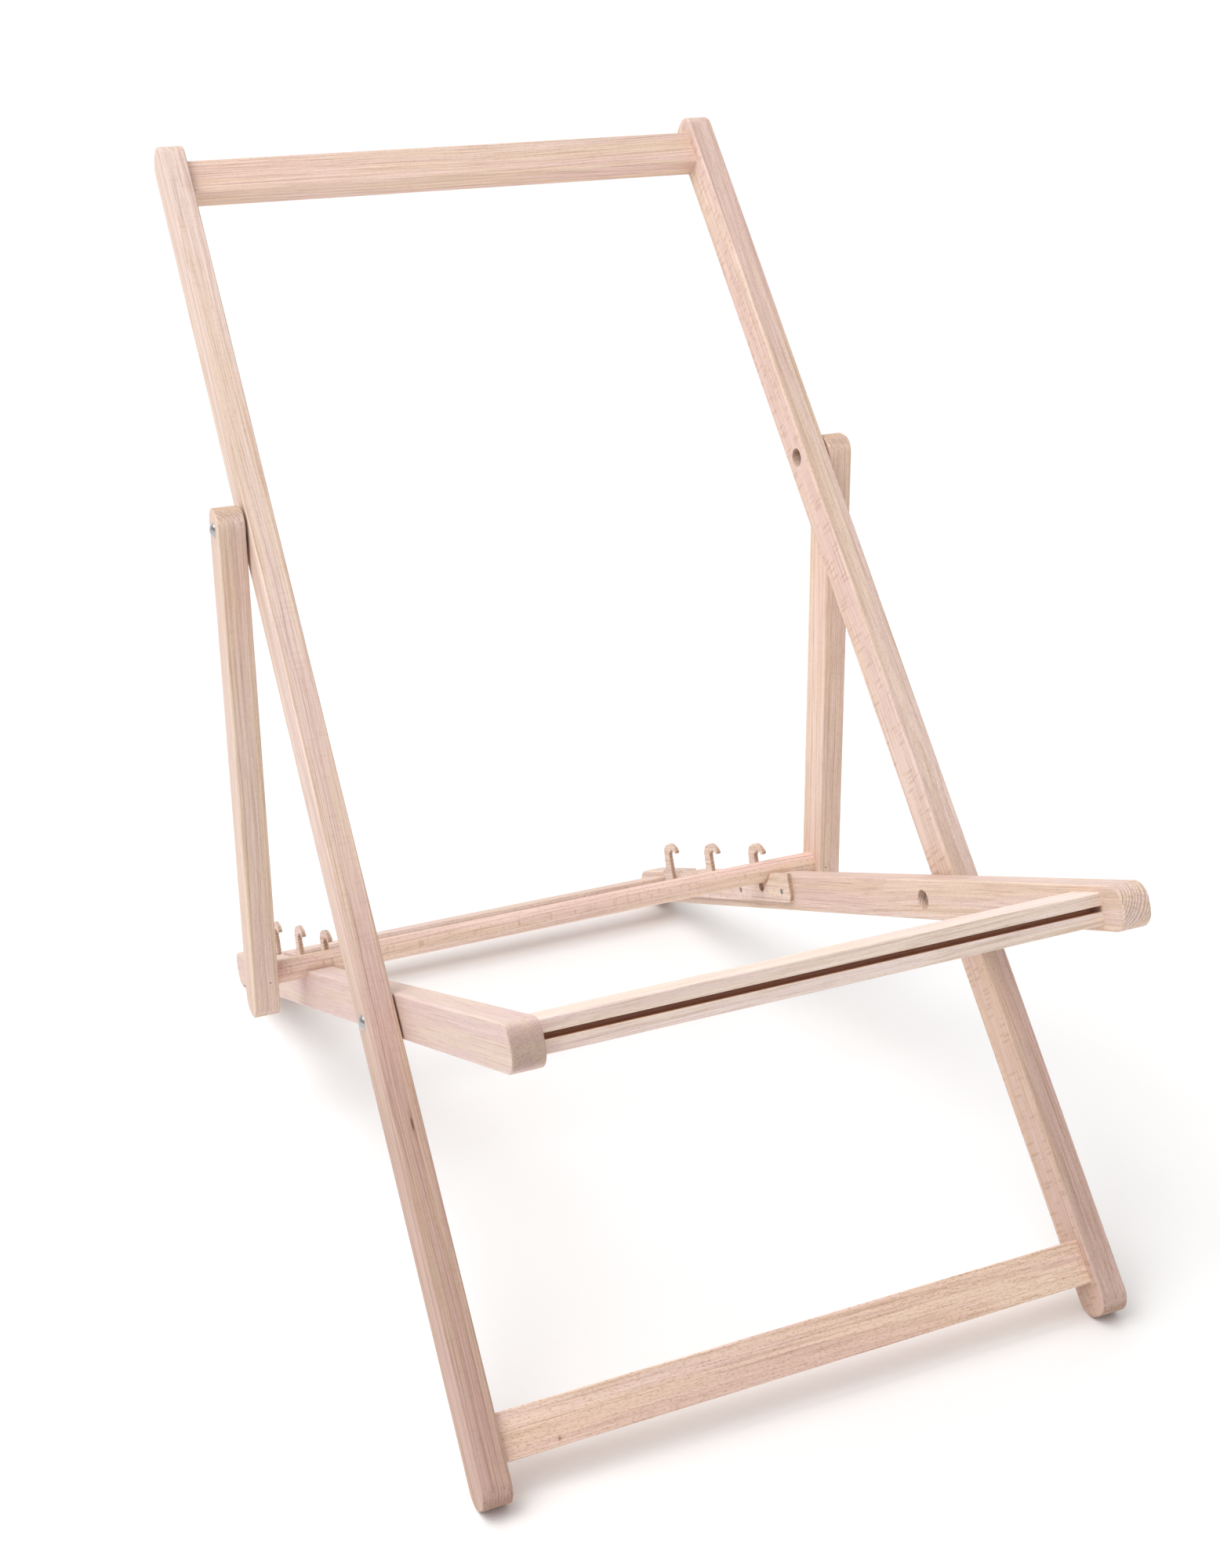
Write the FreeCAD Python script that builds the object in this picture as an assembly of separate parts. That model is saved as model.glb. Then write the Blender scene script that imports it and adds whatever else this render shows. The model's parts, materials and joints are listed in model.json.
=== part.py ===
import FreeCAD, Part
import math
import os

# A folding deck-chair frame in beech, standing open with its sling taken off.
# Three frames make it: the long back frame, the seat frame that pivots inside it, and the
# prop frame whose round bar drops into the hooks of the seat frame.
# Millimetres. +X is the sitter's left, -Y the front, +Z up. The origin is on the floor,
# below the middle of the whole chair. Names say right and left as seen from the front, so
# the right-hand pieces are at +X.

V = FreeCAD.Vector

# ---- Back frame -------------------------------------------------------------------------
back_width = 540.0             # over the outer faces of its rails
back_rail_length = 1160.0
back_rail_thickness = 23.0     # along X
back_rail_depth = 36.0
back_lean = 42.4               # degrees from upright
foot_to_seat_pivot = 355.0     # along the rail, from its foot
seat_pivot_to_prop_pivot = 426.5
top_bar_width = 35.0           # along the rail
top_bar_thickness = 22.0
top_bar_inset = 11.0           # front face behind the rail's front face
top_bar_from_end = 15.5        # below the rail's top end
foot_slat_width = 34.0
foot_slat_thickness = 18.0
foot_slat_inset = 8.0
foot_slat_from_end = 26.0      # above the rail's foot

# ---- Seat frame -------------------------------------------------------------------------
seat_front_reach = 289.5       # from the pivot to the front end of the rail
seat_rail_thickness = 24.0
seat_rail_depth = 34.0
seat_gap = 1.5                 # between a seat rail and a back rail
seat_bar_width = 35.0          # along the rail
seat_bar_thickness = 24.0
front_bar_from_end = 26.0
rear_bar_from_end = 43.0
groove_width = 4.6             # the sling groove in the front bar
groove_depth = 12.0
groove_wall = 1.5              # wood between the groove and the bar's wooden pins

# ---- Hook plates ------------------------------------------------------------------------
plate_thickness = 4.2
plate_above_rail = 2.5         # the plate's top edge over the rail's
plate_bottom = -8.5            # below the rail's centre line
plate_front_margin = 57.0      # ahead of the front notch
plate_rear_gap = 5.0           # from the plate's rear end to the rear bar
plate_past_hook = 3.4          # behind the rear hook's root
plate_front_radius = 8.0       # lower front corner
plate_rear_radius = 4.0        # lower rear corner
notch_count = 3
notch_pitch = 111.0
front_notch_reach = 308.0      # from the seat pivot back to the front notch
bar_rise = 3.6                 # the seated bar's centre above the rail's top
bar_clearance = 0.3            # between the seated bar and its notch
rail_ramp = 30.0               # degrees, the way out of a notch in the rail
plate_ramp = 37.0              # degrees, the way out of a notch in the plate
plate_relief = 0.3             # the plate's notch reaches this much further back than the rail's
plate_notch_radius = 5.0
plate_notch_room = 9.5         # below the seated bar, in the plate's notch

# ---- Hooks, forward and up from the centre of the seated bar ----------------------------
hook_stem = 14.0               # the stem's width along the rail
hook_root = 6.5                # how far the stem's foot spreads back
hook_root_height = 11.0
hook_root_swell = (4.9, 3.4)   # middle of the foot's curve, from the root: forward and up
hook_top_above_bar = 16.2
crown_lean = 1.0               # the stem's rear face leans forward by this much
crown_drop = 11.0              # where the crown's curve starts, below the hook's top
crown_run = 11.5               # length of that curve along the rail
crown_swell = (4.2, 3.4)       # its middle, from the stem's rear face and from the top
nose_past_bar = -0.6           # how far the nose reaches forward of the bar
nose_drop = 6.8                # the nose's foremost point, below the hook's top
brow_swell = (4.6, 2.3)        # middle of the curve to it, from the nose and from the top
nose_roll = 5.6                # width of the nose's rounded tip
nose_swell = (2.4, 2.6)        # its middle, back from the nose and down from its front
tip_rise = 0.6                 # the tip's rear end, below the nose's foremost point
throat_drop = 5.9              # the highest point of the hook's underside, below its top
throat_back = 9.0              # the same, back from the nose
throat_end_drop = 10.5         # where the underside meets the stem, below the hook's top

# ---- Prop frame -------------------------------------------------------------------------
prop_leg_thickness = 23.0
prop_leg_depth = 34.0
prop_gap = 2.2                 # between a leg and a back rail
prop_top_reach = 17.5          # above its pivot
prop_tail = 37.5               # below the round bar
prop_bar_diameter = 21.0
prop_bar_socket = 15.0         # how deep the bar goes into each leg
prop_legs_end_radius = 14.0

# ---- Shared details ---------------------------------------------------------------------
back_end_radius = 15.0         # rounded corners of the back rails' ends
seat_end_radius = 14.0
edge_radius = 1.5              # eased long edges
pin_diameter = 8.0             # wooden pins that join the bars to the rails
pin_in_rail = 14.0
pin_in_bar = 20.0
pin_hole_spare = 1.0           # left free at each end of a pin's hole
pin_spacing = 17.0
front_pin_spacing = 11.0       # in the front bar, where both pins sit behind the groove
glue_gap = 0.05
cutter_margin = 1.0            # how far a cutting tool runs past the faces that it opens

# ---- Pivot hardware ---------------------------------------------------------------------
bolt_diameter = 6.0
bolt_head_diameter = 13.0
bolt_head_height = 3.6
bolt_end = 1.0                 # thread that shows past the nut
bolt_fit = 0.05                # radial, in the rail the bolt turns with
pivot_fit = 0.08               # radial, in the rail that turns on the bolt
spacer_diameter = 18.0
spacer_slack = 0.15            # each side of a spacer ring
recess_diameter = 17.0         # the nut's hole in the inner face
recess_depth = 12.0
washer_diameter = 12.5
washer_thickness = 1.2
washer_slack = 0.2
nut_across_flats = 10.0
nut_height = 5.0

# ---- Small fixings ----------------------------------------------------------------------
screw_head_diameter = 5.6
screw_diameter = 3.0
screw_length = 20.0
screw_hole_spare = 1.0         # left free past the screw's point
screw_head_depth = 1.8
screw_height = 2.0             # above the rail's centre line
screw_ahead = 39.0             # ahead of the front notch
screw_share = 0.51             # of the way from one notch to the next
rear_screw_margin = 14.0       # from the plate's rear end
nail_diameter = 1.8
nail_length = 30.0
nail_fit = 0.03

# ---- Worked-out places ------------------------------------------------------------------
lean = math.radians(back_lean)
back_inner_x = back_width / 2 - back_rail_thickness
seat_outer_x = back_inner_x - seat_gap
seat_inner_x = seat_outer_x - seat_rail_thickness
prop_inner_x = back_width / 2 + prop_gap
prop_outer_x = prop_inner_x + prop_leg_thickness
plate_inner_x = seat_inner_x - plate_thickness
bar_radius = prop_bar_diameter / 2
notch_radius = bar_radius + bar_clearance
notch_height = seat_rail_depth / 2 + bar_rise
plate_top = seat_rail_depth / 2 + plate_above_rail
pivot_hole_radius = bolt_diameter / 2 + bolt_fit
turning_hole_radius = bolt_diameter / 2 + pivot_fit
pin_hole_radius = pin_diameter / 2 + glue_gap

# The seat rails reach as far back as the notches need: the hook plate ends behind the rear
# hook, the rear bar comes next, and the rail runs on past it.
notch_places = [front_notch_reach + step * notch_pitch for step in range(notch_count)]
hook_back = notch_radius + plate_relief + hook_stem + hook_root
plate_rear = notch_places[-1] + hook_back + plate_past_hook
rear_bar_y = plate_rear + plate_rear_gap
seat_rear_reach = rear_bar_y + seat_bar_width + rear_bar_from_end

# The back rails stand on their lower rear corners, which sets the height of the seat pivot.
back_corner = back_rail_depth / 2 - back_end_radius
foot_corner = foot_to_seat_pivot - back_end_radius
pivot_height = foot_corner * math.cos(lean) + back_corner * math.sin(lean) + back_end_radius

# The seat rails stand on their lower rear corners too, which sets the slope of the seat.
seat_corner = seat_rail_depth / 2 - seat_end_radius
rear_corner = seat_rear_reach - seat_end_radius
front_corner = seat_front_reach - seat_end_radius
slope = (math.asin((pivot_height - seat_end_radius) / math.hypot(rear_corner, seat_corner))
         - math.atan2(seat_corner, rear_corner))

# The front ends of the seat rails reach furthest forward. Whichever of the seat's rear ends
# and the back's top ends reaches further sets the rear.
front_reach = front_corner * math.cos(slope) + seat_corner * math.sin(slope) + seat_end_radius
rear_reach = max(
    rear_corner * math.cos(slope) + seat_corner * math.sin(slope) + seat_end_radius,
    (back_rail_length - foot_to_seat_pivot - back_end_radius) * math.sin(lean)
    + back_corner * math.cos(lean) + back_end_radius)
seat_pivot = V(0, (front_reach - rear_reach) / 2, pivot_height)


def turned(degrees, base):
    """A place whose local axes are turned about X, with its origin at base."""
    return FreeCAD.Placement(base, FreeCAD.Rotation(V(1, 0, 0), degrees))


back_place = turned(-back_lean, seat_pivot)
seat_place = turned(-math.degrees(slope), seat_pivot)
prop_pivot = back_place.multVec(V(0, 0, seat_pivot_to_prop_pivot))
bar_centre = seat_place.multVec(V(0, front_notch_reach, notch_height))
prop_line = bar_centre - prop_pivot
prop_reach = prop_line.Length
prop_place = turned(math.degrees(math.atan2(prop_line.y, -prop_line.z)), prop_pivot)

parts = {}


# ---- Building blocks --------------------------------------------------------------------
def both_sides(make):
    """The right-hand solid made by make(+1), and its mirror image made by make(-1)."""
    return {"right": make(1), "left": make(-1)}


def block(x0, x1, y0, y1, z0, z1):
    return Part.makeBox(x1 - x0, y1 - y0, z1 - z0, V(x0, y0, z0))


def rod_x(radius, x0, x1, y=0.0, z=0.0):
    low, high = min(x0, x1), max(x0, x1)
    return Part.makeCylinder(radius, high - low, V(low, y, z), V(1, 0, 0))


def eased(solid, pick):
    """Rounds the edges that pick chooses by the usual edge radius."""
    return solid.makeFillet(edge_radius, [edge for edge in solid.Edges if pick(edge)])


def lies_across(edge):
    return edge.BoundBox.XLength < 1e-6


def runs_along_x(edge):
    return not lies_across(edge)


def batten(x0, x1, y0, y1, z0, z1, end_radius, ends_along):
    """A rail between two side planes, with the corners of its ends rounded."""
    solid = block(x0, x1, y0, y1, z0, z1)
    length = y1 - y0 if ends_along == "y" else z1 - z0
    corners = [edge for edge in solid.Edges if runs_along_x(edge)]
    solid = solid.makeFillet(min(end_radius, length / 2), corners)
    return eased(solid, lies_across)


def crossbar(y0, y1, z0, z1, half_length):
    """A straight bar between two rails, with its long edges eased."""
    return eased(block(-half_length, half_length, y0, y1, z0, z1), runs_along_x)


def pin_places(y, z, along, spacing):
    """The two pin axes of a joint, spread along the bar's wide side."""
    for step in (-spacing / 2, spacing / 2):
        yield (y + step, z) if along == "y" else (y, z + step)


def pins(inner_x, y, z, along, spacing=pin_spacing):
    """The four wooden pins that hold one bar between two rails."""
    spare = pin_hole_spare
    made = []
    for side in (-1, 1):
        for pin_y, pin_z in pin_places(y, z, along, spacing):
            made.append(rod_x(pin_diameter / 2, side * (inner_x - pin_in_bar + spare),
                              side * (inner_x + pin_in_rail - spare), pin_y, pin_z))
    return made


def pin_holes(inner_x, y, z, along, spacing=pin_spacing):
    """The holes for those pins, with some spare depth at each end and a glue line round them."""
    made = []
    for side in (-1, 1):
        for pin_y, pin_z in pin_places(y, z, along, spacing):
            made.append(rod_x(pin_hole_radius, side * (inner_x - pin_in_bar),
                              side * (inner_x + pin_in_rail), pin_y, pin_z))
    return made


def place(name, solids, where):
    """Puts the solids in the chair and keeps them under the node's name."""
    group = solids if isinstance(solids, list) else [solids]
    moved = []
    for solid in group:
        copy = solid.copy()
        copy.Placement = where.multiply(copy.Placement)
        moved.append(copy)
    parts[name] = moved[0] if len(moved) == 1 else Part.makeCompound(moved)


# ---- Pivots -----------------------------------------------------------------------------
def domed_bolt(side, head_x, end_x):
    """A bolt along X with a low domed head against head_x and its plain end at end_x."""
    radius = (bolt_head_diameter ** 2 / 4 + bolt_head_height ** 2) / (2 * bolt_head_height)
    ball = Part.makeSphere(radius, V(side * (head_x + bolt_head_height - radius), 0, 0))
    cap = ball.common(rod_x(bolt_head_diameter, side * head_x, side * (head_x + bolt_head_height)))
    return cap.fuse(rod_x(bolt_diameter / 2, side * head_x, side * end_x)).removeSplitter()


def bolt_way(x0, x1, side=1, radius=pivot_hole_radius, z=0.0):
    """The cutter for a bolt's hole through everything between x0 and x1."""
    return rod_x(radius, side * (x0 - cutter_margin), side * (x1 + cutter_margin), 0, z)


def nut_recess(floor_x, face_x, side, z=0.0):
    """The cutter for the blind hole that takes a washer and nut."""
    return rod_x(recess_diameter / 2, side * floor_x, side * (face_x - cutter_margin), 0, z)


def ring(side, x0, x1, outer_radius):
    disc = rod_x(outer_radius, side * x0, side * x1)
    return disc.cut(bolt_way(x0, x1, side))


def hex_nut(side, x0, x1):
    corner = nut_across_flats / math.sqrt(3)
    points = [V(side * x0, corner * math.cos(math.radians(60 * step)),
                corner * math.sin(math.radians(60 * step))) for step in range(6 + 1)]
    prism = Part.Face(Part.makePolygon(points)).extrude(V(side * (x1 - x0), 0, 0))
    return prism.cut(bolt_way(x0, x1, side))


def pivot_set(head_x, gap_x, gap, recess_floor_x):
    """Bolts, spacer rings, washers and nuts of one pivot, on both sides of the chair."""
    washer_x = recess_floor_x - washer_slack
    nut_x = washer_x - washer_thickness
    made = {"bolts": [], "spacers": [], "washers": [], "nuts": []}
    for side in (-1, 1):
        made["bolts"].append(domed_bolt(side, head_x, nut_x - nut_height - bolt_end))
        made["spacers"].append(ring(side, gap_x + spacer_slack, gap_x + gap - spacer_slack,
                                    spacer_diameter / 2))
        made["washers"].append(ring(side, nut_x, washer_x, washer_diameter / 2))
        made["nuts"].append(hex_nut(side, nut_x - nut_height, nut_x))
    return made


seat_recess_floor = seat_inner_x + recess_depth
prop_recess_floor = back_inner_x + recess_depth
seat_pivot_set = pivot_set(back_width / 2, seat_outer_x, seat_gap, seat_recess_floor)
prop_pivot_set = pivot_set(prop_outer_x, back_width / 2, prop_gap, prop_recess_floor)


# ---- Back frame, built along Z with the seat pivot at its origin ------------------------
back_top = back_rail_length - foot_to_seat_pivot
top_bar_y = -back_rail_depth / 2 + top_bar_inset
top_bar_z = back_top - top_bar_from_end - top_bar_width
foot_slat_y = -back_rail_depth / 2 + foot_slat_inset
foot_slat_z = -foot_to_seat_pivot + foot_slat_from_end
top_bar_axis = (top_bar_y + top_bar_thickness / 2, top_bar_z + top_bar_width / 2)
foot_slat_axis = (foot_slat_y + foot_slat_thickness / 2, foot_slat_z + foot_slat_width / 2)


def back_rail(side):
    x0, x1 = sorted((side * back_inner_x, side * back_width / 2))
    half = back_rail_depth / 2
    rail = batten(x0, x1, -half, half, -foot_to_seat_pivot, back_top, back_end_radius, "z")
    cuts = pin_holes(back_inner_x, *top_bar_axis, "z")
    cuts += pin_holes(back_inner_x, *foot_slat_axis, "z")
    cuts.append(bolt_way(x0, x1))
    cuts.append(bolt_way(x0, x1, 1, turning_hole_radius, seat_pivot_to_prop_pivot))
    cuts.append(nut_recess(prop_recess_floor, back_inner_x, side, seat_pivot_to_prop_pivot))
    return rail.cut(cuts)


for side_name, solid in both_sides(back_rail).items():
    place("back_rail_" + side_name, solid, back_place)

top_bar = crossbar(top_bar_y, top_bar_y + top_bar_thickness,
                   top_bar_z, top_bar_z + top_bar_width, back_inner_x)
place("top_bar", top_bar.cut(pin_holes(back_inner_x, *top_bar_axis, "z")), back_place)
place("top_bar_pins", pins(back_inner_x, *top_bar_axis, "z"), back_place)

foot_slat = crossbar(foot_slat_y, foot_slat_y + foot_slat_thickness,
                     foot_slat_z, foot_slat_z + foot_slat_width, back_inner_x)
place("foot_slat", foot_slat.cut(pin_holes(back_inner_x, *foot_slat_axis, "z")), back_place)
place("foot_slat_pins", pins(back_inner_x, *foot_slat_axis, "z"), back_place)

for name, solids in seat_pivot_set.items():
    place("seat_pivot_" + name, solids, back_place)


# ---- Seat frame, built along Y with the seat pivot at its origin, front towards -Y ------
front_bar_y = -seat_front_reach + front_bar_from_end
front_pin_y = front_bar_y + groove_depth + groove_wall + pin_diameter / 2
front_bar_axis = (front_pin_y + front_pin_spacing / 2, 0.0)
rear_bar_axis = (rear_bar_y + seat_bar_width / 2, 0.0)
screw_places = [notch_places[0] - screw_ahead]
screw_places += [reach + screw_share * notch_pitch for reach in notch_places[:-1]]
screw_places.append(plate_rear - rear_screw_margin)


def profile(edges, x0, x1):
    """Closes the edges, which lie in the plane x = x0, and draws the face out to x1."""
    face = Part.Face(Part.Wire(Part.__sortEdges__([edge.toShape() for edge in edges])))
    return face.extrude(V(x1 - x0, 0, 0))


def rail_notch(reach, x0, x1):
    """The round seat of the bar in a rail, with a straight ramp up and out to the front."""
    angle = math.radians(rail_ramp)
    above = seat_rail_depth
    foot_of_ramp = (notch_radius * math.sin(angle), -notch_radius * math.cos(angle))
    top_of_ramp = (foot_of_ramp[0] + (above - foot_of_ramp[1]) / math.tan(angle), above)

    def at(forward, up):
        return V(x0, reach - forward, notch_height + up)

    halfway = math.radians(225)
    side_point = (notch_radius * math.cos(halfway), notch_radius * math.sin(halfway))
    edges = [
        Part.LineSegment(at(-notch_radius, above), at(-notch_radius, 0)),
        Part.Arc(at(-notch_radius, 0), at(*side_point), at(*foot_of_ramp)),
        Part.LineSegment(at(*foot_of_ramp), at(*top_of_ramp)),
        Part.LineSegment(at(*top_of_ramp), at(-notch_radius, above)),
    ]
    return profile(edges, x0, x1)


def seat_rail(side):
    x0, x1 = sorted((side * seat_inner_x, side * seat_outer_x))
    half = seat_rail_depth / 2
    rail = batten(x0, x1, -seat_front_reach, seat_rear_reach, -half, half, seat_end_radius, "y")
    cuts = pin_holes(seat_inner_x, *front_bar_axis, "y", front_pin_spacing)
    cuts += pin_holes(seat_inner_x, *rear_bar_axis, "y")
    cuts += [rail_notch(reach, x0 - cutter_margin, x1 + cutter_margin) for reach in notch_places]
    cuts.append(bolt_way(x0, x1, 1, turning_hole_radius))
    cuts.append(nut_recess(seat_recess_floor, seat_inner_x, side))
    hole_end = plate_inner_x + screw_length + screw_hole_spare
    for reach in screw_places:
        cuts.append(rod_x(screw_diameter / 2 + glue_gap, side * (seat_inner_x - cutter_margin),
                          side * hole_end, reach, screw_height))
    return rail.cut(cuts)


def hook_edges(reach, at_x):
    """The top of the way out of one notch, and the outline from its hook's root to there."""
    level = plate_top - notch_height
    angle = math.radians(plate_ramp)
    bottom = plate_notch_radius - bar_radius - plate_notch_room
    stem_front = -notch_radius - plate_relief
    stem_back = stem_front - hook_stem
    root = stem_back - hook_root
    middle = stem_front + plate_notch_radius
    ramp_foot = (middle + plate_notch_radius * math.sin(angle),
                 bottom - plate_notch_radius * math.cos(angle))
    ramp_top = (ramp_foot[0] + (level - ramp_foot[1]) / math.tan(angle), level)
    belly = math.radians(180 + plate_ramp)
    top = bar_radius + hook_top_above_bar
    nose = bar_radius + nose_past_bar
    tip = nose - nose_roll

    def at(forward, up):
        return V(at_x, reach - forward, notch_height + up)

    foot_end = at(stem_back, level + hook_root_height)
    crown_start = at(stem_back + crown_lean, top - crown_drop)
    crown_end = at(stem_back + crown_run, top)
    nose_front = at(nose, top - nose_drop)
    nose_end = at(tip, top - nose_drop - tip_rise)
    throat_end = at(stem_front, top - throat_end_drop)
    return ramp_top, [
        Part.Arc(at(root, level), at(root + hook_root_swell[0], level + hook_root_swell[1]),
                 foot_end),
        Part.LineSegment(foot_end, crown_start),
        Part.Arc(crown_start, at(stem_back + crown_swell[0], top - crown_swell[1]), crown_end),
        Part.Arc(crown_end, at(nose - brow_swell[0], top - brow_swell[1]), nose_front),
        Part.Arc(nose_front, at(nose - nose_swell[0], top - nose_drop - nose_swell[1]), nose_end),
        Part.Arc(nose_end, at(nose - throat_back, top - throat_drop), throat_end),
        Part.LineSegment(throat_end, at(stem_front, bottom)),
        Part.Arc(at(stem_front, bottom), at(middle + plate_notch_radius * math.cos(belly),
                                            bottom + plate_notch_radius * math.sin(belly)),
                 at(*ramp_foot)),
        Part.LineSegment(at(*ramp_foot), at(*ramp_top)),
    ]


def hook_plate(side):
    x0, x1 = sorted((side * plate_inner_x, side * seat_inner_x))
    front = notch_places[0] - plate_front_margin

    def at(y, z):
        return V(x0, y, z)

    edges = []
    last = at(plate_rear, plate_top)
    for reach in reversed(notch_places):
        ramp_top, outline = hook_edges(reach, x0)
        edges.append(Part.LineSegment(last, outline[0].StartPoint))
        edges += outline
        last = at(reach - ramp_top[0], plate_top)
    f = plate_front_radius
    r = plate_rear_radius
    bend = 1 - math.cos(math.radians(45))
    edges += [
        Part.LineSegment(last, at(front, plate_top)),
        Part.LineSegment(at(front, plate_top), at(front, plate_bottom + f)),
        Part.Arc(at(front, plate_bottom + f), at(front + f * bend, plate_bottom + f * bend),
                 at(front + f, plate_bottom)),
        Part.LineSegment(at(front + f, plate_bottom), at(plate_rear - r, plate_bottom)),
        Part.Arc(at(plate_rear - r, plate_bottom), at(plate_rear - r * bend, plate_bottom + r * bend),
                 at(plate_rear, plate_bottom + r)),
        Part.LineSegment(at(plate_rear, plate_bottom + r), at(plate_rear, plate_top)),
    ]
    plate = profile(edges, x0, x1)
    return plate.cut([screw_shape(side, reach, glue_gap) for reach in screw_places])


def screw_shape(side, reach, room):
    """A countersunk screw through a hook plate, or the hole for it when room is added."""
    shank = rod_x(screw_diameter / 2 + room, side * plate_inner_x,
                  side * (plate_inner_x + screw_length), reach, screw_height)
    head = Part.makeCone(screw_head_diameter / 2 + room, screw_diameter / 2 + room,
                         screw_head_depth, V(side * plate_inner_x, reach, screw_height),
                         V(side, 0, 0))
    return head.fuse(shank).removeSplitter()


for side_name, solid in both_sides(seat_rail).items():
    place("seat_rail_" + side_name, solid, seat_place)
for side_name, solid in both_sides(hook_plate).items():
    place("hook_plate_" + side_name, solid, seat_place)
screws = [screw_shape(side, reach, 0) for side in (-1, 1) for reach in screw_places]
place("hook_plate_screws", screws, seat_place)

half_bar = seat_bar_thickness / 2
front_bar = crossbar(front_bar_y, front_bar_y + seat_bar_width, -half_bar, half_bar, seat_inner_x)
groove = block(-seat_inner_x, seat_inner_x,
               front_bar_y - cutter_margin, front_bar_y + groove_depth,
               -groove_width / 2, groove_width / 2)
front_holes = pin_holes(seat_inner_x, *front_bar_axis, "y", front_pin_spacing)
front_bar = front_bar.cut([groove] + front_holes)
place("front_bar", front_bar, seat_place)
place("front_bar_pins", pins(seat_inner_x, *front_bar_axis, "y", front_pin_spacing), seat_place)

rear_bar = crossbar(rear_bar_y, rear_bar_y + seat_bar_width, -half_bar, half_bar, seat_inner_x)
place("rear_bar", rear_bar.cut(pin_holes(seat_inner_x, *rear_bar_axis, "y")), seat_place)
place("rear_bar_pins", pins(seat_inner_x, *rear_bar_axis, "y"), seat_place)


# ---- Prop frame, built hanging along -Z with its pivot at its origin --------------------
bar_half_length = prop_inner_x + prop_bar_socket
nail_x = prop_inner_x + prop_bar_socket / 2


def nail(side, room):
    """A nail driven through a leg's front face into the end of the round bar."""
    start = V(side * nail_x, -prop_leg_depth / 2 - room, -prop_reach)
    return Part.makeCylinder(nail_diameter / 2 + room, nail_length + 2 * room, start, V(0, 1, 0))


def prop_leg(side):
    x0, x1 = sorted((side * prop_inner_x, side * prop_outer_x))
    half = prop_leg_depth / 2
    leg = batten(x0, x1, -half, half, -prop_reach - prop_tail, prop_top_reach,
                 prop_legs_end_radius, "z")
    cuts = [bolt_way(x0, x1)]
    cuts.append(rod_x(bar_radius + glue_gap, side * (prop_inner_x - cutter_margin),
                      side * (bar_half_length + glue_gap), 0, -prop_reach))
    cuts.append(nail(side, nail_fit))
    return leg.cut(cuts)


for side_name, solid in both_sides(prop_leg).items():
    place("prop_leg_" + side_name, solid, prop_place)
prop_bar = rod_x(bar_radius, -bar_half_length, bar_half_length, 0, -prop_reach)
place("prop_bar", prop_bar.cut([nail(side, nail_fit) for side in (-1, 1)]), prop_place)
place("prop_bar_nails", [nail(side, 0) for side in (-1, 1)], prop_place)
for name, solids in prop_pivot_set.items():
    place("prop_pivot_" + name, solids, prop_place)


# ---- Files ------------------------------------------------------------------------------
os.makedirs("parts", exist_ok=True)
for name, shape in parts.items():
    shape.exportStep("parts/" + name + ".step")
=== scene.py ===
import json
import math

import bmesh
import bpy
from mathutils import Matrix, Vector


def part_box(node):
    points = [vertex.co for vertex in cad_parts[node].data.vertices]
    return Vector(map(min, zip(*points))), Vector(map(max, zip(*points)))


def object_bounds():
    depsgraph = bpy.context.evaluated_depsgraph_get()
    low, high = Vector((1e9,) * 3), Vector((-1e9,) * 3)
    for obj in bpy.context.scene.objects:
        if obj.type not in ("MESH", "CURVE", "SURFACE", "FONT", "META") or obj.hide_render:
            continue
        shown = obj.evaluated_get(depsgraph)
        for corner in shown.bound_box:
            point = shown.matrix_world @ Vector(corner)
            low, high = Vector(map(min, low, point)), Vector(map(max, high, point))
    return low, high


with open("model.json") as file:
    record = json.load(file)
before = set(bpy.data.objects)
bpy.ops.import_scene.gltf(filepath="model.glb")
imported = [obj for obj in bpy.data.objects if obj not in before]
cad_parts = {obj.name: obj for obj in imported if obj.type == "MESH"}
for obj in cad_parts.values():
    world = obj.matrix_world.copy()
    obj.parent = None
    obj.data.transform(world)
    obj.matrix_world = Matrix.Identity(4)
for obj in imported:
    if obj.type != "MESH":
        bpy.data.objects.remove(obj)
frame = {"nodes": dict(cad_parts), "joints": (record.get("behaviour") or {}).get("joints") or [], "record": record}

# The looks of a bare folding deck chair frame: planed beech with its rings, rays and end
# grain, sawn plywood hook plates and small bright steel fixings. Metres throughout.

CAD_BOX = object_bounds()
NODES = frame["nodes"]
BEHAVIOUR = frame["record"]["behaviour"]
BODY_OF = {node: body for body, nodes in BEHAVIOUR["bodies"].items() for node in nodes}
JOINT_AT = {joint["name"]: Vector(joint["pos_m"]) for joint in frame["joints"]}
ACROSS = Vector((1, 0, 0))
MM = 0.001


# ---- Places worked out from the frame ---------------------------------------------------
def middle(node):
    low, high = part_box(node)
    return (low + high) / 2


ALONG = {
    "back_frame": (JOINT_AT["prop_hinge"] - JOINT_AT["back_hinge"]).normalized(),
    "seat_frame": (middle("rear_bar") - middle("front_bar")).normalized(),
    "prop_frame": (JOINT_AT["prop_hinge"] - middle("prop_bar")).normalized(),
}


def facing(body):
    """The direction square to both the body's rails and the chair's width."""
    return ALONG[body].cross(ACROSS)


def grain_axes(node, crosswise):
    """Two axes across the grain and one along it, for a rail or for a bar between rails."""
    body = BODY_OF[node]
    if crosswise:
        return ALONG[body], facing(body), ACROSS
    return ACROSS, facing(body), ALONG[body]


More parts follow.
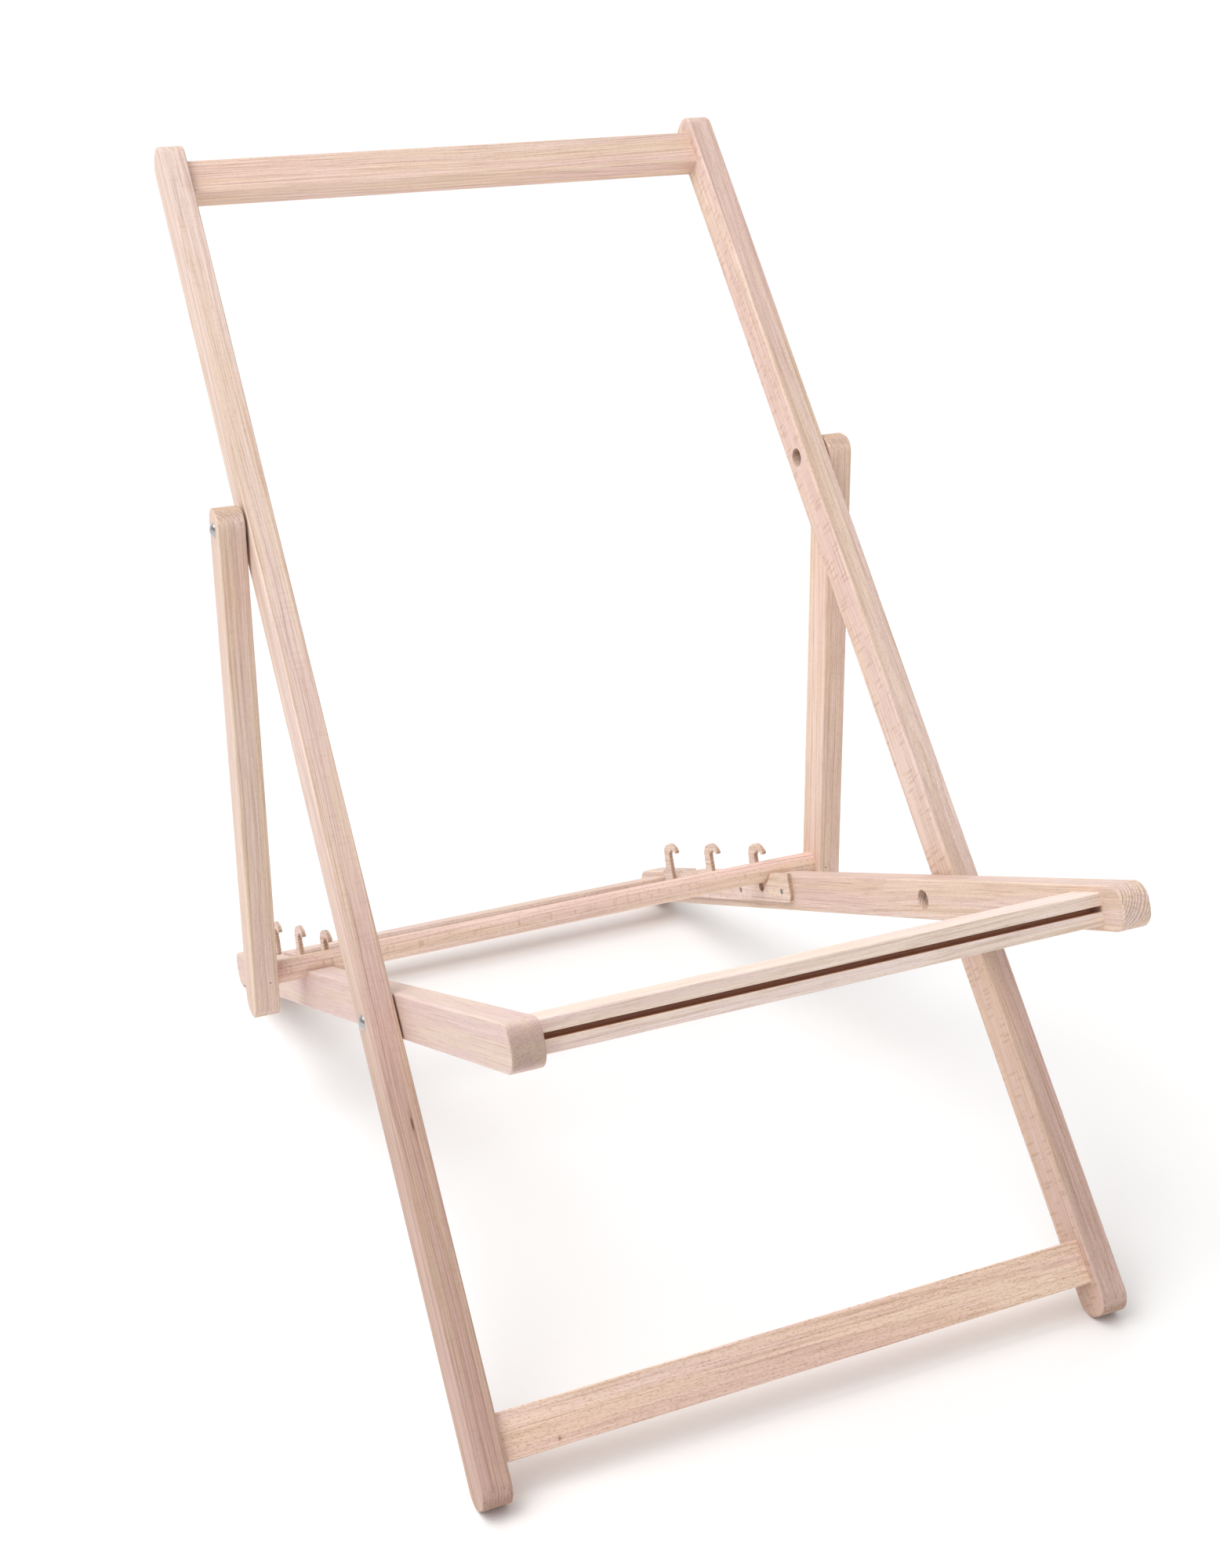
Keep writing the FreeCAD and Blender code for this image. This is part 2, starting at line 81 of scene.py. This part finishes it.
def half_size(node, axes):
    """Half of the node's size along each of the axes."""
    points = [vertex.co for vertex in NODES[node].data.vertices]
    sizes = []
    for axis in axes:
        reach = [point.dot(axis) for point in points]
        sizes.append((max(reach) - min(reach)) / 2)
    return sizes


def true_middle(node, axes):
    """The middle of the node's box, measured along the axes."""
    points = [vertex.co for vertex in NODES[node].data.vertices]
    centre = Vector()
    for axis in axes:
        reach = [point.dot(axis) for point in points]
        centre += axis * (max(reach) + min(reach)) / 2
    return centre


# ---- A short way to write node trees ----------------------------------------------------
class Graph:
    """A material's node tree, with one short call for each kind of node."""

    def __init__(self, name):
        self.material = bpy.data.materials.new(name)
        self.material.use_nodes = True
        self.tree = self.material.node_tree
        self.tree.nodes.clear()

    def node(self, kind, inputs=None, **settings):
        made = self.tree.nodes.new("ShaderNode" + kind)
        for key, value in settings.items():
            setattr(made, key, value)
        for key, value in (inputs or {}).items():
            self.put(made.inputs[key], value)
        return made

    def put(self, socket, value):
        if isinstance(value, bpy.types.NodeSocket):
            self.tree.links.new(value, socket)
        else:
            socket.default_value = value

    def math(self, operation, *values, clamp=False):
        made = self.node("Math", operation=operation, use_clamp=clamp)
        for socket, value in zip(made.inputs, values):
            self.put(socket, value)
        return made.outputs[0]

    def vector(self, operation, *values, output=0):
        made = self.node("VectorMath", operation=operation)
        for socket, value in zip(made.inputs, values):
            self.put(socket, value)
        return made.outputs[output]

    def step(self, value, low, high):
        """Turns smoothly from 0 at low to 1 at high."""
        made = self.node("MapRange", {"Value": value, "From Min": low, "From Max": high},
                         interpolation_type="SMOOTHSTEP")
        return made.outputs["Result"]

    def noise(self, place, scale, detail=2.0, roughness=0.5, distortion=0.0):
        stretched = self.vector("MULTIPLY", place, scale)
        made = self.node("TexNoise", {"Vector": stretched, "Scale": 1.0, "Detail": detail,
                                      "Roughness": roughness, "Distortion": distortion})
        return made.outputs["Fac"]

    def cells(self, place, scale):
        """Distance to the nearest of many scattered points, and that point's own shade."""
        stretched = self.vector("MULTIPLY", place, scale)
        made = self.node("TexVoronoi", {"Vector": stretched, "Scale": 1.0})
        return made.outputs["Distance"], made.outputs["Color"]

    def mix(self, factor, low, high, blend="MIX"):
        made = self.node("Mix", data_type="RGBA", blend_type=blend)
        # A colour mix takes its two colours in sockets 6 and 7, and gives its result in 2.
        self.put(made.inputs["Factor"], factor)
        self.put(made.inputs[6], low)
        self.put(made.inputs[7], high)
        return made.outputs[2]

    def shade(self, colour, amount, mask):
        """Multiplies the colour by amount where the mask is 1."""
        return self.mix(mask, colour, self.mix(1.0, colour, (*amount, 1), "MULTIPLY"))

    def finish(self, shader):
        output = self.node("OutputMaterial")
        self.put(output.inputs["Surface"], shader.outputs[0])
        return self.material


def object_place(graph, centre, axes):
    """The point in the piece's own axes, from its middle."""
    turn = Matrix(axes).transposed().to_euler()
    given = graph.node("TexCoord").outputs["Object"]
    made = graph.node("Mapping", {"Vector": given, "Location": centre, "Rotation": turn},
                      vector_type="TEXTURE")
    return made.outputs["Vector"]


def facing_along(graph, axis):
    """1 where the surface faces along the axis, either way, and 0 where it is square to it."""
    normal = graph.node("TexCoord").outputs["Normal"]
    return graph.math("ABSOLUTE", graph.vector("DOT_PRODUCT", normal, tuple(axis), output=1))


# ---- Beech ------------------------------------------------------------------------------
PALE = (0.800, 0.645, 0.582)
PINK = (0.765, 0.565, 0.512)
HONEY = (0.800, 0.635, 0.505)
RING_WIDTH = 2.6 * MM

# What each feature multiplies the wood's colour by.
LATE_WOOD = (0.90, 0.86, 0.83)
BAND = (0.92, 0.89, 0.86)
STREAK = (0.80, 0.74, 0.70)
FIBRE = (0.84, 0.79, 0.75)
PALE_STREAK = (1.07, 1.09, 1.10)
RAY = (0.77, 0.68, 0.60)
END_RING = (0.72, 0.66, 0.62)
# Paler long edges: partly wear, partly a painted highlight.
RUBBED_AND_HIGHLIT_EDGE = (1.07, 1.09, 1.11)
KNOT_HALO = (0.78, 0.68, 0.58)
KNOT = (0.42, 0.33, 0.27)
CROSSED_PLY = (0.80, 0.74, 0.68)
GLUE_LINE = (0.60, 0.50, 0.42)
# Painted shade for the inside of the front bar's groove.
GROOVE_PAINTED_SHADE = (0.80, 0.57, 0.45)

# Along a rail from its middle: where the painted shade towards the rail's foot starts, and where it is full.
PAINTED_SHADE_FROM, PAINTED_SHADE_FULL = -0.10, -0.32
RUB_AND_HIGHLIGHT_FROM, RUB_AND_HIGHLIGHT_FULL = 1.9 * MM, 0.5 * MM        # in from an edge
BUMP_HEIGHT = 0.12 * MM
GROOVE_HALF_WIDTH = 2.3 * MM
GROOVE_DEPTH = 12.0 * MM


def trunk_place(graph, place, seeded, pith):
    """A point's place in the trunk: round it, out from the pith and along it."""
    # The trunk isn't quite straight, so the rings wander a little along the piece.
    wander_x = graph.noise(seeded, (5, 5, 2.2), 1.0)
    wander_y = graph.noise(graph.vector("ADD", seeded, (7.1, 3.3, 0.9)), (5, 5, 2.2), 1.0)
    wander = graph.node("CombineXYZ", {"X": wander_x, "Y": wander_y}).outputs[0]
    swept = graph.vector("MULTIPLY_ADD", wander, (0.016, 0.016, 0), place)
    split = graph.node("SeparateXYZ", {"Vector": graph.vector("ADD", swept, (*pith, 0))})
    out_x, out_y, along = split.outputs
    radius = graph.math("SQRT", graph.math("ADD", graph.math("MULTIPLY", out_x, out_x),
                                           graph.math("MULTIPLY", out_y, out_y)))
    turn = graph.math("MULTIPLY", graph.math("ARCTAN2", out_y, out_x), math.hypot(*pith))
    trunk = graph.node("CombineXYZ", {"X": turn, "Y": radius, "Z": along}).outputs[0]
    return trunk, radius, along


def late_wood(graph, trunk, radius):
    """Rings: a slow change of width, and a narrow darker edge of late wood in each."""
    uneven = graph.noise(trunk, (0, 90, 0.6), 1.0)
    count = graph.math("MULTIPLY_ADD", radius, 1 / RING_WIDTH,
                       graph.math("MULTIPLY", uneven, 2.4))
    phase = graph.math("FRACT", count)
    return graph.math("MULTIPLY", graph.step(phase, 0.35, 0.90), graph.step(phase, 1.0, 0.93))


def ray_dashes(graph, trunk):
    """Rays: thin upright sheets, which show as short dashes or as broad flecks."""
    distance, cell = graph.cells(trunk, (1500, 45, 300))
    chosen = graph.step(graph.node("SeparateColor", {"Color": cell}).outputs[0], 0.20, 0.70)
    return graph.math("MULTIPLY", graph.step(distance, 0.55, 0.20), chosen)


def beech(name, centre, axes, half, pith, seed, tone=(1, 1, 1), end_tone=(0.86, 0.82, 0.78),
          foot_tone=None, rays=1.0, rings=1.0, lines=1.0, end_rings=0.55, knots=(), plies=None,
          grooved=False):
    """Beech as a solid: rings round a pith line, rays across them, pores along the grain."""
    graph = Graph("beech_" + name)
    place = object_place(graph, centre, axes)
    seeded = graph.vector("ADD", place, (seed * 1.37, seed * 0.71, seed * 2.03))
    trunk, radius, along = trunk_place(graph, place, seeded, pith)
    late = late_wood(graph, trunk, radius)
    dash = ray_dashes(graph, trunk)
    band = graph.noise(trunk, (0, 260, 0.4), 2.0)
    streak = graph.noise(trunk, (480, 480, 4.5), 4.0, 0.7)
    fine = graph.noise(trunk, (1300, 1300, 16), 2.0, 0.6)
    pores = graph.noise(place, (2600, 2600, 130), 2.0, 0.6)
    mottle = graph.noise(seeded, (75, 75, 3.5), 3.0, 0.6)
    drift = graph.noise(seeded, (9, 9, 1.6), 1.0)

    end = graph.step(facing_along(graph, axes[2]), 0.45, 0.85)
    colour = graph.mix(graph.step(drift, 0.35, 0.65), (*PALE, 1), (*PINK, 1))
    colour = graph.mix(graph.math("MULTIPLY", graph.step(mottle, 0.42, 0.60), 0.75),
                       colour, (*HONEY, 1))
    colour = graph.shade(colour, LATE_WOOD, graph.math("MULTIPLY", late, 0.6 * rings))
    colour = graph.shade(colour, BAND,
                         graph.math("MULTIPLY", graph.step(band, 0.42, 0.72), lines))
    colour = graph.shade(colour, STREAK,
                         graph.math("MULTIPLY", graph.step(streak, 0.49, 0.70), lines))
    colour = graph.shade(colour, FIBRE, graph.step(fine, 0.50, 0.68))
    colour = graph.shade(colour, PALE_STREAK, graph.step(streak, 0.48, 0.28))
    colour = graph.shade(colour, RAY, graph.math("MULTIPLY", dash, 0.75 * rays))
    colour = graph.shade(colour, FIBRE, graph.step(pores, 0.55, 0.75))
    colour = graph.shade(colour, end_tone, end)
    colour = graph.shade(colour, END_RING,
                         graph.math("MULTIPLY", graph.math("MULTIPLY", late, end), end_rings))
    # Painted shade: the wood darkens towards the foot of a back rail, standing in for the lesser light there.
    if foot_tone:
        colour = graph.shade(colour, foot_tone, graph.step(along, PAINTED_SHADE_FROM, PAINTED_SHADE_FULL))
    if plies:
        colour = plywood_edges(graph, colour, place, axes, plies)
    # Painted shade inside the front bar's groove.
    if grooved:
        colour = groove_painted_shade(graph, colour, place, half)
    for knot in knots:
        colour = pin_knot(graph, colour, *knot)
    # Paler long edges, partly worn and partly a painted highlight.
    rubbed_and_highlit = edge_rub_and_highlight(graph, place, half, seeded)
    colour = graph.shade(colour, RUBBED_AND_HIGHLIT_EDGE, rubbed_and_highlit)
    colour = graph.mix(1.0, colour, (*tone, 1), "MULTIPLY")

    height = graph.math("MULTIPLY_ADD", streak, -0.35, graph.math("MULTIPLY", late, -0.30))
    height = graph.math("MULTIPLY_ADD", pores, -0.45, height)
    height = graph.math("MULTIPLY_ADD", dash, 0.15, height)
    bump = graph.node("Bump", {"Height": height, "Strength": 0.45, "Distance": BUMP_HEIGHT})
    rough = graph.math("MULTIPLY_ADD", streak, 0.22, 0.46)
    rough = graph.math("MULTIPLY_ADD", dash, -0.10, rough)
    rough = graph.math("MULTIPLY_ADD", rubbed_and_highlit, -0.10, rough)
    rough = graph.math("MULTIPLY_ADD", end, 0.12, rough, clamp=True)
    shader = graph.node("BsdfPrincipled", {
        "Base Color": colour, "Roughness": rough, "Normal": bump.outputs[0],
        "Specular IOR Level": 0.35})
    return graph.finish(shader)


def edge_rub_and_highlight(graph, place, half, seeded):
    """Paler long edges: partly worn pale by hands and the plane, partly a painted highlight along each edge."""
    split = graph.node("SeparateXYZ", {"Vector": place})
    near = [graph.step(graph.math("ABSOLUTE", split.outputs[side]),
                       half[side] - RUB_AND_HIGHLIGHT_FROM, half[side] - RUB_AND_HIGHLIGHT_FULL) for side in (0, 1)]
    corner = graph.math("MULTIPLY", *near)
    patchy = graph.step(graph.noise(seeded, (30, 30, 14), 2.0), 0.25, 0.65)
    return graph.math("MULTIPLY", corner, patchy)


def pin_knot(graph, colour, at, radius, length):
    """A small dark knot or mineral streak at a point, with the grain's direction in length."""
    given = graph.node("TexCoord").outputs["Object"]
    offset = graph.vector("SUBTRACT", given, tuple(at))
    reach = graph.vector("DOT_PRODUCT", offset, tuple(length.normalized()), output=1)
    squeezed = graph.vector("SUBTRACT", offset, graph.vector(
        "MULTIPLY", graph.node("CombineXYZ", {"X": reach, "Y": reach, "Z": reach}).outputs[0],
        tuple(length.normalized() * (1 - radius / length.length))))
    away = graph.vector("LENGTH", squeezed, output=1)
    halo = graph.math("MULTIPLY", graph.step(away, radius * 2.6, radius), 0.45)
    colour = graph.shade(colour, KNOT_HALO, halo)
    return graph.shade(colour, KNOT, graph.step(away, radius, radius * 0.4))


def plywood_edges(graph, colour, place, axes, plies):
    """Crossed plies on the sawn edges: darker end-grain layers and thin glue lines."""
    thickness, layers = plies
    split = graph.node("SeparateXYZ", {"Vector": place})
    level = graph.math("MULTIPLY_ADD", split.outputs[0], layers / thickness, layers / 2)
    odd = graph.math("MODULO", graph.math("FLOOR", level), 2.0)
    sawn = graph.math("SUBTRACT", 1.0, graph.step(facing_along(graph, axes[0]), 0.6, 0.9))
    colour = graph.shade(colour, CROSSED_PLY, graph.math("MULTIPLY", odd, sawn))
    seam = graph.math("ABSOLUTE", graph.math("SUBTRACT", graph.math("FRACT", level), 0.5))
    glue = graph.math("MULTIPLY", graph.step(seam, 0.42, 0.47), sawn)
    return graph.shade(colour, GLUE_LINE, glue)


def groove_painted_shade(graph, colour, place, half):
    """Painted shade inside the front bar's sawn groove: a darker brown from just inside its mouth to its floor."""
    split = graph.node("SeparateXYZ", {"Vector": place})
    mouth = -half[0]
    floor = mouth + GROOVE_DEPTH
    inside = graph.step(graph.math("ABSOLUTE", split.outputs[1]), GROOVE_HALF_WIDTH + 0.3 * MM,
                        GROOVE_HALF_WIDTH + 0.1 * MM)
    deep = graph.step(split.outputs[0], mouth + 0.2 * MM, mouth + 1.2 * MM)
    shallow = graph.step(split.outputs[0], floor + 1.0 * MM, floor + 0.2 * MM)
    mask = graph.math("MULTIPLY", graph.math("MULTIPLY", inside, deep), shallow)
    return graph.shade(colour, GROOVE_PAINTED_SHADE, mask)


# ---- Metal ------------------------------------------------------------------------------
def steel(name, colour, low, high, scratches):
    """Plated or bare steel, its roughness from low to high, with marks from handling."""
    graph = Graph("steel_" + name)
    place = graph.node("TexCoord").outputs["Object"]
    cloud = graph.noise(place, (260, 260, 260), 3.0, 0.6)
    scratch = graph.noise(place, (2600, 380, 380), 2.0, 0.6, 0.6)
    blend = graph.math("MULTIPLY_ADD", scratch, scratches, graph.math(
        "MULTIPLY", cloud, 1 - scratches))
    tint = graph.mix(blend, (*colour, 1), (*[0.78 * part for part in colour], 1))
    rough = graph.node("MapRange", {"Value": blend, "From Min": 0.3, "From Max": 0.7,
                                    "To Min": low, "To Max": high}).outputs["Result"]
    bump = graph.node("Bump", {"Height": scratch, "Strength": 0.15, "Distance": 0.03 * MM})
    shader = graph.node("BsdfPrincipled", {"Base Color": tint, "Metallic": 1.0,
                                           "Roughness": rough, "Normal": bump.outputs[0]})
    return graph.finish(shader)


# ---- Every node gets its own piece of the tree -------------------------------------------
def wear(node, material):
    slots = NODES[node].data.materials
    slots.clear()
    slots.append(material)


def wood(node, crosswise, pith_mm, seed, **looks):
    axes = grain_axes(node, crosswise)
    half = half_size(node, axes)
    pith = tuple(part * MM for part in pith_mm)
    wear(node, beech(node, true_middle(node, axes), axes, half, pith, seed, **looks))


def rail_point(node, share, height):
    """A point on the node's front face: a share of its width, and a height above the floor."""
    low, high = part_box(node)
    body = BODY_OF[node]
    axes = grain_axes(node, False)
    centre = true_middle(node, axes)
    climb = (height - centre.z) / ALONG[body].z
    front = -facing(body) if facing(body).y > 0 else facing(body)
    return (centre + ALONG[body] * climb + front * half_size(node, axes)[1]
            + ACROSS * (share - 0.5) * (high.x - low.x))


# Each knot is a point, a radius and the way and the distance that it is drawn out.
SPECK_FROM_END = 43 * MM
rail_streak = (rail_point("back_rail_left", share=0.62, height=0.205), 1.1 * MM,
               ALONG["back_frame"] * 7 * MM)
slat_low, slat_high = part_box("foot_slat")
slat_speck = (Vector((slat_low.x + SPECK_FROM_END, slat_low.y,
                      (slat_low.z + slat_high.z) / 2)),
              1.5 * MM, facing("back_frame") * 9 * MM)

# The two back rails carry painted shade that darkens them towards their feet.
wood("back_rail_right", False, (5, 70), 3, rays=0.9, rings=0.7, tone=(1.0, 0.985, 0.975),
     foot_tone=(0.84, 0.79, 0.77))
wood("back_rail_left", False, (62, 16), 5, rays=0.25, rings=1.5, lines=1.25,
     tone=(1.0, 0.99, 1.0), foot_tone=(0.76, 0.70, 0.67), knots=[rail_streak])
wood("top_bar", True, (48, 30), 7, rays=0.4, rings=1.5, tone=(1.05, 1.02, 0.98))
wood("foot_slat", True, (8, 64), 11, rays=1.33, rings=0.5, tone=(1.16, 1.13, 1.09),
     knots=[slat_speck])
wood("seat_rail_right", False, (28, 9), 13, rays=0.6, tone=(0.96, 0.95, 0.94),
     end_tone=(1.16, 1.17, 1.19), end_rings=1.0)
wood("seat_rail_left", False, (14, 66), 17, rays=0.3, rings=0.1, lines=0.25,
     tone=(0.90, 0.90, 0.92), end_tone=(0.80, 0.77, 0.73), end_rings=0.15)
wood("front_bar", True, (52, 24), 19, rays=0.4, rings=1.0, tone=(1.12, 1.17, 1.20),
     grooved=True)
wood("rear_bar", True, (20, 58), 23, rays=0.8)
wood("prop_leg_right", False, (50, 34), 29, rays=0.4, rings=1.3, tone=(1.06, 1.02, 0.97))
wood("prop_leg_left", False, (38, 46), 31, rays=0.4, rings=1.4, tone=(0.99, 0.98, 0.95))
wood("prop_bar", True, (34, 22), 37, rays=0.8, rings=1.1, tone=(1.15, 1.13, 1.11))

plate_low, plate_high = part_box("hook_plate_right")
PLY_COUNT = 3
PLATE_PLIES = (plate_high.x - plate_low.x, PLY_COUNT)
wood("hook_plate_right", False, (4, 90), 41, rays=0.8, plies=PLATE_PLIES)
wood("hook_plate_left", False, (6, 80), 43, rays=0.8, plies=PLATE_PLIES)
FIRST_PIN_SEED = 50
for seed, pins in enumerate(("front_bar_pins", "rear_bar_pins", "top_bar_pins",
                             "foot_slat_pins"), FIRST_PIN_SEED):
    wood(pins, True, (12, 18), seed, tone=(0.92, 0.86, 0.78))

bright = steel("bright", (0.50, 0.50, 0.50), low=0.10, high=0.26, scratches=0.3)
satin = steel("satin", (0.60, 0.59, 0.56), low=0.28, high=0.46, scratches=0.5)
dark = steel("dark", (0.34, 0.32, 0.30), low=0.35, high=0.55, scratches=0.5)
for pivot in ("seat_pivot_", "prop_pivot_"):
    wear(pivot + "bolts", bright)
    for piece in ("spacers", "washers", "nuts"):
        wear(pivot + piece, satin)
wear("hook_plate_screws", dark)
wear("prop_bar_nails", dark)


# ---- Floor ------------------------------------------------------------------------------
FLOOR_REACH = 60
FLOOR_TINTS = (0.965, 0.965, 0.965, 1), (0.955, 0.955, 0.957, 1)


def pale_floor():
    """A wide pale floor with a little unevenness, and the horizon far behind the chair."""
    graph = Graph("pale_floor")
    place = graph.node("TexCoord").outputs["Object"]
    tint = graph.mix(graph.noise(place, (1.2, 1.2, 1.2)), *FLOOR_TINTS)
    rough = graph.math("MULTIPLY_ADD", graph.noise(place, (14, 14, 14)), 0.1, 0.6)
    shader = graph.node("BsdfPrincipled", {"Base Color": tint, "Roughness": rough})
    material = graph.finish(shader)
    mesh = bpy.data.meshes.new("floor")
    shape = bmesh.new()
    bmesh.ops.create_grid(shape, x_segments=1, y_segments=1, size=FLOOR_REACH)
    shape.to_mesh(mesh)
    shape.free()
    mesh.materials.append(material)
    floor = bpy.data.objects.new("floor", mesh)
    bpy.context.scene.collection.objects.link(floor)


pale_floor()


# ---- Light ------------------------------------------------------------------------------
CHAIR = (CAD_BOX[0] + CAD_BOX[1]) / 2
KEY_AT = Vector((-0.9, -0.3, 1.9))
KEY_AIM = CHAIR + Vector((0, 0.2, 0.3))
KEY_SIZE = 0.9
KEY_POWER = 8                  # watts
SUN_TOWARDS = Vector((0.50, -0.03, -0.86))
SUN_STRENGTH = 1.55
SUN_SPREAD = 60                # degrees, wide enough to leave only faint shadows
WORLD_AWAY, WORLD_BACKDROP = 0.50, 1.14
BACKDROP_TOWARDS = (0.20, 0.95, 0.05)


def hang(lamp, towards, at=(0, 0, 0)):
    """Puts a lamp in the scene, shining towards a direction."""
    made = bpy.data.objects.new(lamp.name, lamp)
    made.location = at
    made.rotation_euler = towards.to_track_quat("-Z", "Y").to_euler()
    bpy.context.scene.collection.objects.link(made)


key = bpy.data.lights.new("key_upper_left", "AREA")
key.size = KEY_SIZE
key.energy = KEY_POWER
hang(key, KEY_AIM - KEY_AT, KEY_AT)

daylight = bpy.data.lights.new("even_light", "SUN")
daylight.energy = SUN_STRENGTH
daylight.angle = math.radians(SUN_SPREAD)
hang(daylight, SUN_TOWARDS)


def studio_world(low, high, towards):
    """An even pale studio, a little brighter on the backdrop's side."""
    world = bpy.data.worlds.new("studio")
    world.use_nodes = True
    tree = world.node_tree
    given = tree.nodes.new("ShaderNodeTexCoord").outputs["Generated"]
    side = tree.nodes.new("ShaderNodeVectorMath")
    side.operation = "DOT_PRODUCT"
    side.inputs[1].default_value = towards
    tree.links.new(given, side.inputs[0])
    level = tree.nodes.new("ShaderNodeMapRange")
    level.interpolation_type = "SMOOTHSTEP"
    level.inputs["To Min"].default_value = low
    level.inputs["To Max"].default_value = high
    tree.links.new(side.outputs["Value"], level.inputs["Value"])
    tree.links.new(level.outputs["Result"], tree.nodes["Background"].inputs["Strength"])
    tree.nodes["Background"].inputs["Color"].default_value = (1, 1, 1, 1)
    bpy.context.scene.world = world


studio_world(WORLD_AWAY, WORLD_BACKDROP, BACKDROP_TOWARDS)
bpy.context.scene.view_settings.view_transform = "Standard"

# ---- Camera -----------------------------------------------------------------------------
CAMERA_AT = Vector((-0.6221, -1.5056, 1.0648))
CAMERA_AZIMUTH = 22.84         # degrees from +Y towards +X
CAMERA_DROP = 19.16            # degrees below level
CAMERA_ROLL = -0.76            # degrees
SENSOR_HEIGHT = 36.0
LENS = 47.15                   # millimetres, as the sensor
SHIFT = (-0.0037, -0.1041)

azimuth = math.radians(CAMERA_AZIMUTH)
drop = math.radians(CAMERA_DROP)
view = Vector((math.sin(azimuth) * math.cos(drop), math.cos(azimuth) * math.cos(drop),
               -math.sin(drop)))
lens = bpy.data.cameras.new("camera")
lens.sensor_fit = "VERTICAL"
lens.sensor_height = SENSOR_HEIGHT
lens.lens = LENS
lens.shift_x, lens.shift_y = SHIFT
camera = bpy.data.objects.new("camera", lens)
camera.location = CAMERA_AT
look = view.to_track_quat("-Z", "Y").to_matrix()
camera.rotation_euler = (look @ Matrix.Rotation(math.radians(CAMERA_ROLL), 3, "Z")).to_euler()
bpy.context.scene.collection.objects.link(camera)
bpy.context.scene.camera = camera
